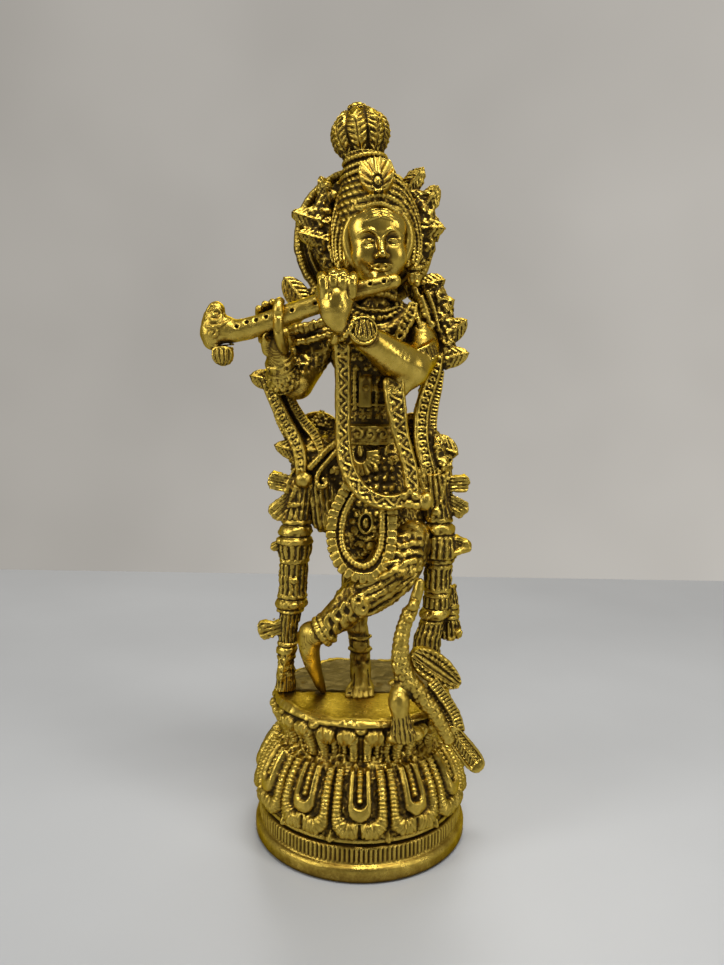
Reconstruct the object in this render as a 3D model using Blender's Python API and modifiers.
"""Cast brass statue of a flute player on a double lotus base, with a halo, side scarves and a peacock.

The figure faces -Y and stands on the plane Z = 0, with the axis of its round base on the Z axis. All sizes
here are in millimetres. Each casting is a list of simple closed shapes. They are united, and then the shapes
of the castings made before it are cut out of it with a small clearance, so that no two castings touch.
"""

import math

import bmesh
import bpy
from mathutils import Matrix, Vector

MM = 0.001

# The round base, from the ground up
FOOT_RADIUS = 34.6
FOOT_HEIGHT = 5.2
BAND_RADIUS = 33.2
BAND_TOP = 10.6
FLOOR_THICKNESS = 3.0
DOME_RADIUS = 33.2
NECK_RADIUS = 24.5
NECK_Z = 34.6
SEAT_RADIUS = 29.2
SEAT_TOP = 45.4
WALL = 4.0

# The plate under the feet, and the fixing inside the base
PLATE_RADIUS = 27.0
PLATE_THICKNESS = 1.2
PLATE_FRONT = -4.6
STUD_PLACE = (0.0, 9.0)
STUD_RADIUS = 3.0
STUD_LENGTH = 14.0
WASHER_RADIUS = 6.0
WASHER_THICKNESS = 1.2
NUT_RADIUS = 5.5
NUT_HEIGHT = 5.0

# The gap that stands for a seam between two castings, and the height that the feet stand on
CLEARANCE = 0.3
STANDING_Z = SEAT_TOP + CLEARANCE + PLATE_THICKNESS + CLEARANCE

# How finely the shapes are divided
SIDES_ROUND = 36
SIDES_STUD = 16
SIDES_BALL = 12
RINGS_BALL = 8
SIDES_RING = 20
SIDES_RING_SECTION = 6
TUBE_RESOLUTION = 2
SHARP_ANGLE = 40

BRASS = (0.72, 0.52, 0.16, 1.0)
DARK_BRASS = (0.38, 0.26, 0.08, 1.0)
STEEL = (0.55, 0.55, 0.56, 1.0)

CASTINGS = bpy.data.collections.new("flute_player_statue")
CUTTERS = bpy.data.collections.new("cutters")
made = []


# ---------------------------------------------------------------- the scene

def clear_scene():
    for obj in list(bpy.data.objects):
        bpy.data.objects.remove(obj)
    for collection in (CASTINGS, CUTTERS):
        bpy.context.scene.collection.children.link(collection)


def material(name, colour, roughness):
    finish = bpy.data.materials.new(name)
    finish.use_nodes = True
    shader = finish.node_tree.nodes["Principled BSDF"]
    shader.inputs["Base Color"].default_value = colour
    shader.inputs["Metallic"].default_value = 1.0
    shader.inputs["Roughness"].default_value = roughness
    return finish


# ---------------------------------------------------------------- shapes

def helper(name, data):
    """Mesh or curve data as a hidden object among the cutters."""
    obj = bpy.data.objects.new(name, data)
    CUTTERS.objects.link(obj)
    obj.hide_render = True
    obj.display_type = "WIRE"
    return obj


def helper_from(shape, name, placing):
    """A hidden object from a bmesh, moved by the placing matrix."""
    mesh = bpy.data.meshes.new(name)
    shape.to_mesh(mesh)
    shape.free()
    mesh.transform(placing)
    return helper(name, mesh)


def evaluated_mesh(obj):
    """The object's mesh with its modifiers, in world space, with a curve's caps welded on."""
    bpy.context.view_layer.update()
    graph = bpy.context.evaluated_depsgraph_get()
    mesh = bpy.data.meshes.new_from_object(obj.evaluated_get(graph))
    mesh.transform(obj.matrix_world)
    shape = bmesh.new()
    shape.from_mesh(mesh)
    bmesh.ops.remove_doubles(shape, verts=shape.verts, dist=0.001 * MM)
    bmesh.ops.recalc_face_normals(shape, faces=shape.faces)
    shape.to_mesh(mesh)
    shape.free()
    return mesh


def settled(obj):
    """Replaces the object by its evaluated mesh."""
    mesh = evaluated_mesh(obj)
    name = obj.name
    bpy.data.objects.remove(obj)
    return helper(name, mesh)


def placed(centre, tilt=(0.0, 0.0, 0.0), scale=(1.0, 1.0, 1.0)):
    """A matrix that scales, tilts by degrees about X, then Y, then Z, and moves to the centre."""
    about_x, about_y, about_z = [
        Matrix.Rotation(math.radians(angle), 3, axis) for angle, axis in zip(tilt, "XYZ")
    ]
    return Matrix.LocRotScale(Vector(centre) * MM, about_z @ about_y @ about_x, Vector(scale))


def ball(centre, radii, tilt=(0.0, 0.0, 0.0), sides=SIDES_BALL, rings=RINGS_BALL):
    """An ellipsoid."""
    shape = bmesh.new()
    bmesh.ops.create_uvsphere(shape, u_segments=sides, v_segments=rings, radius=MM)
    return helper_from(shape, "ball", placed(centre, tilt, radii))


def rod(centre, radius, length, sides):
    """An upright cylinder or prism, from its middle."""
    shape = bmesh.new()
    bmesh.ops.create_cone(
        shape, cap_ends=True, segments=sides, radius1=radius * MM, radius2=radius * MM, depth=length * MM
    )
    return helper_from(shape, "rod", placed(centre))


def slab(centre, size):
    """A box, from its middle."""
    shape = bmesh.new()
    bmesh.ops.create_cube(shape, size=MM)
    return helper_from(shape, "slab", placed(centre, scale=size))


def turned(profile, centre=(0.0, 0.0, 0.0), tilt=(0.0, 0.0, 0.0), sides=SIDES_ROUND, stretch=1.0):
    """A closed outline of (radius, height) points turned round Z, stretched along X, tilted and placed."""
    mesh = bpy.data.meshes.new("profile")
    points = [(radius * MM, 0.0, height * MM) for radius, height in profile]
    edges = [(i, (i + 1) % len(points)) for i in range(len(points))]
    mesh.from_pydata(points, edges, [])
    obj = helper("turned", mesh)
    screw = obj.modifiers.new("turn", "SCREW")
    screw.steps = sides
    screw.render_steps = sides
    screw.use_merge_vertices = True
    screw.merge_threshold = 0.01 * MM
    obj = settled(obj)
    obj.data.transform(placed(centre, tilt, (stretch, 1.0, 1.0)))
    return obj


def ring(centre, radius, thickness, tilt=(0.0, 0.0, 0.0), stretch=1.0):
    """A torus that lies flat before its tilt."""
    angles = [math.tau * i / SIDES_RING_SECTION for i in range(SIDES_RING_SECTION)]
    section = [(radius + thickness * math.cos(a), thickness * math.sin(a)) for a in angles]
    return turned(section, centre, tilt, SIDES_RING, stretch)


def blend(a, b, c, d, t):
    """A Catmull-Rom blend from b to c."""
    square, cube = t * t, t * t * t
    return 0.5 * (2 * b + (c - a) * t + (2 * a - 5 * b + 4 * c - d) * square + (3 * (b - c) - a + d) * cube)


def smooth(points, steps):
    """Rows along a smooth curve through the given rows of numbers."""
    rows = [points[0], *points, points[-1]]
    found = []
    for i in range(len(points) - 1):
        for step in range(steps):
            found.append([blend(*column, step / steps) for column in zip(*rows[i : i + 4])])
    return [*found, points[-1]]


def limb(*points, steps=2):
    """A tube through rows of x, y, z and radius."""
    curve = bpy.data.curves.new("limb", "CURVE")
    curve.dimensions = "3D"
    curve.bevel_depth = MM
    curve.bevel_resolution = TUBE_RESOLUTION
    curve.use_fill_caps = True
    rows = smooth(points, steps)
    spline = curve.splines.new("POLY")
    spline.points.add(len(rows) - 1)
    for point, (x, y, z, radius) in zip(spline.points, rows):
        point.co = (x * MM, y * MM, z * MM, 1.0)
        point.radius = radius
    return settled(helper("limb", curve))


def leaf(base, tip, width, thickness=2.2):
    """A flat rounded leaf from its base to its tip, in a plane that faces the front."""
    base, tip = Vector(base), Vector(tip)
    along = tip - base
    slope = math.degrees(math.atan2(along.x, along.z))
    radii = (width / 2, thickness / 2, along.length * 0.58)
    return ball(base + along * 0.45, radii, (0, slope, 0), sides=8, rings=6)


def fingers(first, step, count, radius, reach):
    """Bent rods side by side. Each starts a step further on, and goes through the reach points."""
    shapes = []
    for i in range(count):
        start = [first[axis] + step[axis] * i for axis in range(3)]
        rows = [(start[0] + x, start[1] + y, start[2] + z, radius) for x, y, z in reach]
        shapes.append(limb(*rows, steps=1))
    return shapes


# ---------------------------------------------------------------- joining and cutting

def boolean(obj, other, operation):
    modifier = obj.modifiers.new(operation.lower(), "BOOLEAN")
    modifier.operation = operation
    modifier.solver = "EXACT"
    modifier.object = other
    mesh = evaluated_mesh(obj)
    obj.modifiers.clear()
    obj.data = mesh


def cut_away(obj, cutter):
    """Cuts the cutter out of the object, and removes the cutter."""
    boolean(obj, cutter, "DIFFERENCE")
    bpy.data.objects.remove(cutter)


def boxes_meet(a, b):
    """Whether the two meshes' boxes overlap."""
    lows, highs = [], []
    for obj in (a, b):
        places = [vertex.co for vertex in obj.data.vertices]
        lows.append([min(p[i] for p in places) for i in range(3)])
        highs.append([max(p[i] for p in places) for i in range(3)])
    return all(lows[0][i] <= highs[1][i] and lows[1][i] <= highs[0][i] for i in range(3))


def grown(obj):
    """A hidden copy with its faces moved out by the clearance."""
    shape = bmesh.new()
    shape.from_mesh(obj.data)
    shape.normal_update()
    moves = [vertex.normal * vertex.calc_shell_factor() * CLEARANCE * MM for vertex in shape.verts]
    for vertex, move in zip(shape.verts, moves):
        vertex.co += move
    return helper_from(shape, "grown", Matrix())


def connected_faces(start, left):
    """The faces that hang together with the start face, taken out of the set of faces left."""
    body, edge = set(), [start]
    left.discard(start)
    while edge:
        face = edge.pop()
        body.add(face)
        near = {other for side in face.edges for other in side.link_faces} & left
        left -= near
        edge.extend(near)
    return body


def keep_largest(obj):
    """Drops the loose chips that a cut can leave."""
    shape = bmesh.new()
    shape.from_mesh(obj.data)
    left, bodies = set(shape.faces), []
    while left:
        bodies.append(connected_faces(next(iter(left)), left))
    bodies.sort(key=lambda body: sum(face.calc_area() for face in body))
    for chip in bodies[:-1]:
        bmesh.ops.delete(shape, geom=list(chip), context="FACES")
    shape.to_mesh(obj.data)
    shape.free()


def casting(name, look, *shapes, fitted=False):
    """Unites the shapes into one named object, clear of the earlier castings.

    A fitted casting is clear of them by its sizes, and is not cut.
    """
    keys = [grown(shape) for shape in shapes]
    body = shapes[0]
    for other in shapes[1:]:
        boolean(body, other, "UNION")
        bpy.data.objects.remove(other)
    if not fitted:
        for key in [key for earlier in made for key in earlier if boxes_meet(body, key)]:
            boolean(body, key, "DIFFERENCE")
    keep_largest(body)
    body.name = name
    body.data.name = name
    body.data.materials.append(look)
    body.data.shade_smooth()
    body.data.set_sharp_from_angle(angle=math.radians(SHARP_ANGLE))
    body.hide_render = False
    body.display_type = "TEXTURED"
    CUTTERS.objects.unlink(body)
    CASTINGS.objects.link(body)
    made.append(keys)


# ---------------------------------------------------------------- the base

def make_plinth(look):
    inner = BAND_RADIUS - WALL
    profile = [
        (0.0, 0.0),
        (FOOT_RADIUS, 0.0),
        (FOOT_RADIUS, FOOT_HEIGHT - 1.0),
        (BAND_RADIUS + 0.6, FOOT_HEIGHT),
        (BAND_RADIUS, BAND_TOP),
        (inner, BAND_TOP),
        (inner, FLOOR_THICKNESS),
        (0.0, FLOOR_THICKNESS),
    ]
    casting("plinth", look, turned(profile), fitted=True)


def make_lower_lotus(look):
    bottom = BAND_TOP + CLEARANCE
    inner = DOME_RADIUS - WALL
    profile = [
        (DOME_RADIUS - 1.6, bottom),
        (DOME_RADIUS, bottom + 3.0),
        (DOME_RADIUS, 21.0),
        (DOME_RADIUS - 2.0, 25.8),
        (28.2, 30.2),
        (NECK_RADIUS, NECK_Z),
        (NECK_RADIUS - WALL, NECK_Z),
        (inner - 2.6, 26.0),
        (inner, bottom),
    ]
    casting("lower_lotus", look, turned(profile), fitted=True)


def make_upper_lotus(look):
    bottom = NECK_Z + CLEARANCE
    inner = NECK_RADIUS - WALL
    profile = [
        (inner, bottom),
        (NECK_RADIUS, bottom),
        (26.0, 38.0),
        (28.2, 41.0),
        (SEAT_RADIUS, 43.6),
        (SEAT_RADIUS - 0.5, SEAT_TOP),
        (0.0, SEAT_TOP),
        (0.0, SEAT_TOP - WALL),
        (inner, SEAT_TOP - WALL),
    ]
    seat = turned(profile)
    cut_away(seat, rod((*STUD_PLACE, SEAT_TOP), STUD_RADIUS + CLEARANCE, 4 * WALL, SIDES_STUD))
    casting("upper_lotus", look, seat, fitted=True)


def make_foot_plate(look):
    middle = SEAT_TOP + CLEARANCE + PLATE_THICKNESS / 2
    plate = rod((0, 0, middle), PLATE_RADIUS, PLATE_THICKNESS, SIDES_ROUND)
    front = (0, PLATE_FRONT - PLATE_RADIUS, middle)
    cut_away(plate, slab(front, (4 * PLATE_RADIUS, 2 * PLATE_RADIUS, 4 * PLATE_THICKNESS)))
    casting("foot_plate", look, plate, fitted=True)


def make_fixing(steel):
    """A stud through the seat, with a washer and a nut under it, inside the hollow base."""
    stud = rod((*STUD_PLACE, SEAT_TOP - STUD_LENGTH / 2), STUD_RADIUS, STUD_LENGTH, SIDES_STUD)
    casting("fixing_stud", steel, stud, fitted=True)
    bore = STUD_RADIUS + CLEARANCE
    top = SEAT_TOP - WALL - CLEARANCE
    bottom = top - WASHER_THICKNESS
    profile = [(bore, bottom), (WASHER_RADIUS, bottom), (WASHER_RADIUS, top), (bore, top)]
    casting("fixing_washer", steel, turned(profile, (*STUD_PLACE, 0), sides=SIDES_STUD), fitted=True)
    middle = (*STUD_PLACE, bottom - CLEARANCE - NUT_HEIGHT / 2)
    nut = rod(middle, NUT_RADIUS, NUT_HEIGHT, 6)
    cut_away(nut, rod(middle, bore, 2 * NUT_HEIGHT, SIDES_STUD))
    casting("fixing_nut", steel, nut, fitted=True)


# ---------------------------------------------------------------- legs and body

def make_standing_leg(look):
    z = STANDING_Z
    foot = ball((0.2, -0.5, z + 1.7), (4.3, 8.4, 2.6))
    cut_away(foot, slab((0, 0, z - 4.0), (60, 60, 8)))
    shin = limb(
        (-0.2, 4.5, z + 1.5, 3.0),
        (-0.6, 3.0, 60, 3.1),
        (-1.2, 2.0, 70, 4.2),
        (0, 1, 84, 5.4),
        (2, 1, 96, 6.6),
    )
    casting("standing_leg", look, foot, shin)


def make_crossed_leg(look):
    thigh = limb((-2.0, -14.0, 82, 6.6), (6, -12.5, 88, 7.6), (12.0, -8.0, 97, 8.4))
    shin = limb((-16.0, -13.0, 72, 3.4), (-9.0, -15.0, 76, 4.6), (-2.0, -14.5, 82, 7.0))
    toe = (-12.0, -5.6, STANDING_Z + 1.9, 1.7)
    foot = limb(toe, (-13.6, -8.0, 54, 2.7), (-15.6, -11.0, 62, 3.3), (-15.6, -13.0, 71, 3.6))
    casting("crossed_leg", look, thigh, shin, foot)


def make_torso(look):
    casting(
        "torso",
        look,
        ball((2.0, 0, 157), (14.5, 8.0, 11.5)),
        limb((0.6, 0, 124, 8.4), (0.6, 0, 138, 8.6), (1.6, 0, 152, 9.8)),
        ball((-10.5, 0.5, 161.5), (5.0, 5.2, 4.8)),
        ball((15.0, 0.5, 161.5), (5.2, 5.4, 4.8)),
        limb((2.4, -0.5, 162, 5.0), (2.6, -2.5, 176, 4.6)),
    )
    casting("necklace", look, ring((2.4, -2.6, 164.6), 9.0, 1.9, (24, 0, 0), 1.15))
    casting("belt", look, ring((0.7, 0, 133.6), 9.8, 1.7, (0, 0, 0), 1.1))


def make_dhoti(look):
    casting(
        "dhoti",
        look,
        ball((0.2, 0, 121), (19.0, 10.0, 12.5)),
        ball((-16.0, 3.0, 126), (9.0, 2.6, 10.0)),
        ball((15.0, 3.0, 124), (9.0, 2.6, 13.0)),
        ball((3.2, -1.5, 104), (14.8, 10.5, 20.0)),
        ball((10.5, -3.0, 101), (8.5, 8.5, 15.5)),
    )


# ---------------------------------------------------------------- head

def make_head(look):
    face = ball((2.7, -5.4, 187.6), (10.4, 10.2, 12.6), (4, 0, 0), 18, 12)
    skull = ball((2.6, 1.5, 192), (12.5, 7.5, 12.5))
    casting("head", look, face, skull)
    for side, x, z in (("left", -8.8, 179.5), ("right", 14.2, 180.5)):
        casting(f"earring_{side}", look, ball((x, -5.0, z), (2.2, 1.6, 3.4), sides=10, rings=6))


def make_crown(look):
    cap = [(0, 0), (13.0, 0), (13.6, 3.5), (12.8, 8.5), (10.6, 14.0), (8.0, 19.5), (6.2, 23.4), (0, 23.4)]
    lean = (-4.0, -9.0, 0.0)
    casting("crown", look, turned(cap, (3.0, -3.5, 191.0), lean, 20))
    bud = [(0, -8.4), (5.2, -8.4), (6.0, -7.0), (8.4, -1.5), (8.8, 2.0), (7.4, 6.2), (3.6, 8.4), (0, 8.8)]
    casting("crown_finial", look, turned(bud, (-2.9, 0.2, 221.6), (0.0, -9.0, 0.0), 20))
    casting("crown_plaque", look, ball((2.2, -14.2, 205.6), (5.0, 1.7, 6.6), (16, -6, 0)))


def make_halo(dark):
    """A disc that stands upright behind the head, with a thicker rim."""
    disc = [(0, -1.3), (20.0, -1.3), (21.0, -2.0), (23.0, -1.6), (23.2, 1.2), (20.6, 1.6), (0, 1.6)]
    casting("halo", dark, turned(disc, (-1.2, 10.6, 193.0), (90, 0, 0), 32))


def make_crests(look):
    """A row of leaves on each side of the head, on a curved spine."""
    casting(
        "crest_left",
        look,
        limb((-9.0, 3.0, 184, 2.0), (-13.4, 3.0, 192, 2.4), (-13.4, 3.0, 201, 2.4), (-9.6, 3.0, 207, 2.0)),
        leaf((-13.2, 2.0, 202.0), (-15.4, 1.0, 210.4), 5.0),
        leaf((-12.6, 2.0, 194.6), (-24.6, 1.0, 198.6), 6.0),
        leaf((-10.8, 2.0, 188.4), (-22.8, 1.0, 192.0), 5.0),
    )
    casting(
        "crest_right",
        look,
        limb((15.0, 3.0, 185, 2.0), (17.0, 3.0, 193, 2.4), (15.4, 3.0, 201, 2.4), (9.6, 3.0, 207.6, 2.0)),
        leaf((10.8, 2.0, 206.0), (17.4, 1.0, 213.0), 5.6),
        leaf((15.4, 2.0, 198.6), (21.8, 1.0, 207.8), 6.2),
        leaf((15.0, 2.0, 193.6), (24.2, 1.0, 194.2), 5.4),
    )


# ---------------------------------------------------------------- flute and arms

def make_flute(look):
    pipe = limb(
        (-47.2, -16.6, 159.8, 3.5),
        (-41.0, -17.0, 160.6, 3.3),
        (-30.0, -17.8, 163.2, 3.0),
        (-12.0, -19.0, 168.4, 2.8),
        (8.0, -20.0, 173.9, 2.4),
    )
    upper_lobe = ball((-45.0, -16.2, 164.4), (3.6, 2.6, 5.2), (0, -12, 0))
    lower_knob = ball((-43.2, -16.2, 154.8), (3.2, 2.6, 3.8))
    casting("flute", look, pipe, upper_lobe, lower_knob)


def make_right_arm(look):
    over_flute = [(0, -18.0, 0), (0.6, -22.3, 3.5), (0.8, -22.4, 8.0), (0.9, -18.6, 10.6)]
    behind_flute = [(0, -13.0, 0), (0, -12.6, 6.0), (0, -13.6, 9.8)]
    casting(
        "right_arm",
        look,
        limb((-13.0, 0.0, 161.0, 5.4), (-19.0, -2.5, 151.0, 5.8), (-24.0, -6.0, 145.0, 5.2)),
        limb((-24.2, -6.5, 144.6, 4.8), (-26.0, -11.0, 149.5, 4.4), (-26.6, -14.5, 156.0, 3.2)),
        ball((-26.6, -15.2, 157.6), (4.2, 3.8, 5.2)),
        *fingers((-26.2, 0, 158), (0, 0, 0), 1, 1.4, over_flute),
        *fingers((-29.2, 0, 158), (2.4, 0, 0.6), 2, 1.3, behind_flute),
    )


def make_left_arm(look):
    over_flute = [(0, -24.6, 0), (0, -24.2, 3.6), (0, -21.4, 5.0)]
    casting(
        "left_arm",
        look,
        limb((16.5, -0.5, 160.0, 5.6), (17.0, -4.0, 154.0, 6.0), (14.0, -8.5, 149.5, 5.8)),
        limb(
            (14.0, -8.5, 149.6, 5.8),
            (8.0, -13.5, 154.0, 5.0),
            (-1.0, -18.8, 159.0, 3.6),
            (-7.5, -21.5, 161.4, 2.8),
        ),
        ball((-9.0, -23.6, 168.4), (5.0, 2.6, 7.4), (0, 2, 0)),
        *fingers((-12.6, 0, 171.0), (2.3, 0, 0.2), 4, 1.2, over_flute),
    )


# ---------------------------------------------------------------- garlands

def make_long_garland(look):
    strand = limb(
        (-6.4, -17.6, 155.6, 2.0),
        (-7.0, -14.6, 146.4, 2.1),
        (-6.8, -13.6, 131.4, 2.1),
        (-5.7, -14.8, 120.9, 2.1),
        (-2.0, -16.6, 114.2, 2.1),
        (6.1, -17.6, 110.0, 2.2),
        (13.5, -16.8, 110.6, 2.4),
        (18.4, -16.0, 111.6, 2.6),
    )
    other_strand = limb(
        (9.4, -13.4, 146.0, 2.8),
        (9.4, -13.0, 138.0, 2.5),
        (10.6, -13.0, 131.0, 2.1),
        (13.3, -14.0, 121.4, 2.1),
        (14.6, -15.8, 112.0, 2.1),
    )
    casting("long_garland", look, strand, other_strand, ball((18.9, -16.2, 111.6), (3.3, 3.0, 3.3)))


def make_waist_garland(look):
    outer = [
        (-5.6, -14.4, 113.6, 1.5),
        (-8.8, -14.6, 106.0, 1.5),
        (-9.6, -15.6, 98.2, 1.5),
        (-6.8, -18.0, 91.0, 1.5),
        (0.3, -19.4, 88.2, 1.5),
        (6.2, -18.2, 92.0, 1.5),
        (7.8, -16.4, 99.0, 1.5),
        (7.9, -15.4, 107.0, 1.5),
    ]
    inner = [
        (-3.4, -14.6, 110.6, 1.0),
        (-6.2, -15.0, 104.0, 1.0),
        (-6.6, -16.2, 97.6, 1.0),
        (-4.4, -18.2, 92.6, 1.0),
        (0.3, -19.2, 91.2, 1.0),
        (3.6, -18.2, 93.8, 1.0),
        (4.8, -16.8, 99.0, 1.0),
        (4.9, -15.8, 105.4, 1.0),
    ]
    bridges = [limb(outer[i], inner[i], steps=1) for i in (2, 4)]
    casting("waist_garland", look, limb(*outer), limb(*inner), *bridges)


# ---------------------------------------------------------------- scarves and tassels

def make_left_scarf(look):
    casting(
        "scarf_left",
        look,
        limb(
            (-14.0, 5.6, 176, 2.4),
            (-21.4, 4.6, 171, 2.8),
            (-27.0, 3.0, 160, 2.8),
            (-30.0, 0.4, 149, 2.8),
            (-28.2, -1.6, 139, 3.0),
            (-23.6, -2.8, 129, 3.4),
            (-18.6, -4.0, 119, 3.6),
        ),
        leaf((-20.6, 3.0, 172.0), (-27.8, 2.0, 180.4), 6.4),
        leaf((-29.6, -1.0, 147.0), (-37.4, -3.0, 148.6), 5.4, 3.0),
        leaf((-21.2, -3.0, 124.6), (-28.6, -3.4, 125.8), 4.8, 2.6),
    )


def make_right_scarf(look):
    casting(
        "scarf_right",
        look,
        limb(
            (14.6, 5.6, 177, 2.4),
            (20.4, 4.8, 170, 3.4),
            (23.6, 3.4, 159, 3.4),
            (23.2, 1.4, 150, 2.9),
            (20.6, -0.4, 139, 3.0),
            (18.6, -2.0, 129, 3.4),
            (20.6, -3.4, 118, 3.8),
        ),
        leaf((18.0, 3.6, 177.0), (25.6, 2.4, 180.2), 4.8),
        leaf((21.6, 3.6, 169.6), (28.4, 2.4, 174.0), 4.6),
        leaf((24.2, 2.8, 158.6), (32.4, 1.4, 167.6), 6.0, 2.4),
        leaf((25.0, 1.4, 153.4), (33.2, 0.0, 156.6), 5.0, 2.4),
        leaf((21.8, -2.0, 126.6), (30.4, -3.0, 124.4), 5.6, 2.6),
    )


def make_left_tassel(look):
    casting(
        "tassel_left",
        look,
        limb(
            (-19.6, -5.0, 112.0, 4.4),
            (-21.6, -5.0, 101.0, 5.0),
            (-22.0, -5.0, 94.6, 5.4),
            (-22.2, -5.0, 88.0, 4.2),
            (-21.8, -5.0, 76.0, 4.3),
            (-23.2, -5.0, 66.0, 2.8),
            (-23.4, -4.6, 57.0, 3.2),
            (-23.6, -4.0, STANDING_Z - 3.0, 2.7),
        ),
        ball((-18.9, -9.0, 115.8), (3.1, 3.0, 3.1)),
        leaf((-20.0, -5.4, 114.0), (-30.0, -6.0, 115.4), 6.4, 3.0),
        leaf((-21.0, -5.4, 110.6), (-28.8, -6.0, 103.4), 6.4, 3.0),
        leaf((-24.0, -5.0, 93.4), (-29.8, -5.6, 91.6), 3.4, 3.6),
        leaf((-24.6, -5.0, 68.4), (-33.4, -4.6, 65.8), 5.6, 3.2),
    )


def make_right_tassel(look):
    casting(
        "tassel_right",
        look,
        limb(
            (21.8, -4.8, 113.0, 4.2),
            (23.4, -5.4, 105.4, 4.0),
            (23.6, -5.4, 99.0, 5.0),
            (25.0, -5.4, 93.0, 5.4),
            (24.2, -5.4, 87.0, 4.2),
            (24.0, -5.4, 74.0, 4.2),
            (21.4, -7.0, 66.0, 4.6),
            (20.4, -7.8, 60.6, 4.6),
        ),
        limb((26.4, -3.0, 82.0, 2.8), (28.2, -3.0, 74.0, 3.6), (28.6, -3.0, 65.4, 4.0)),
        leaf((24.0, -4.4, 115.0), (33.0, -5.0, 115.4), 6.0, 3.0),
        leaf((23.4, -4.6, 111.4), (32.6, -5.4, 106.0), 6.4, 3.0),
        leaf((27.0, -5.4, 93.0), (33.6, -6.0, 94.8), 3.6, 4.0),
    )


# ---------------------------------------------------------------- peacock

def make_peacock(look):
    neck = limb(
        (17.0, -25.0, 56.2, 2.8),
        (14.2, -25.4, 57.6, 3.8),
        (12.4, -25.6, 62.0, 3.4),
        (11.6, -25.0, 68.0, 2.9),
        (12.6, -24.4, 74.6, 2.3),
        (15.2, -24.4, 79.6, 2.4),
        (16.4, -24.6, 84.8, 1.6),
    )
    back = limb(
        (13.4, -25.2, 57.4, 3.4),
        (18.4, -24.6, 52.2, 2.9),
        (23.2, -23.8, 46.6, 2.8),
        (27.0, -23.0, 40.6, 2.3),
    )
    leg = limb(
        (11.4, -26.0, 55.6, 2.2),
        (11.2, -27.2, 50.6, 2.7),
        (12.2, -28.2, 45.6, 3.0),
        (13.0, -28.2, 42.4, 3.2),
    )
    casting("peacock_body", look, neck, back, leg)
    casting("peacock_wing", look, ball((22.4, -20.6, 60.2), (9.2, 2.6, 4.4), (0, 37, -14)))
    casting("peacock_tail", look, ball((30.6, -22.0, 36.6), (8.2, 1.9, 3.1), (0, 54, -6)))


def main():
    clear_scene()
    look = material("cast_brass", BRASS, 0.32)
    dark = material("dark_brass", DARK_BRASS, 0.45)
    steel = material("fixing_steel", STEEL, 0.4)
    make_plinth(look)
    make_lower_lotus(look)
    make_upper_lotus(look)
    make_foot_plate(look)
    make_fixing(steel)
    make_standing_leg(look)
    make_crossed_leg(look)
    make_torso(look)
    make_dhoti(look)
    make_head(look)
    make_crown(look)
    make_halo(dark)
    make_crests(look)
    make_flute(look)
    make_right_arm(look)
    make_left_arm(look)
    make_long_garland(look)
    make_waist_garland(look)
    make_left_scarf(look)
    make_right_scarf(look)
    make_left_tassel(look)
    make_right_tassel(look)
    make_peacock(look)


main()
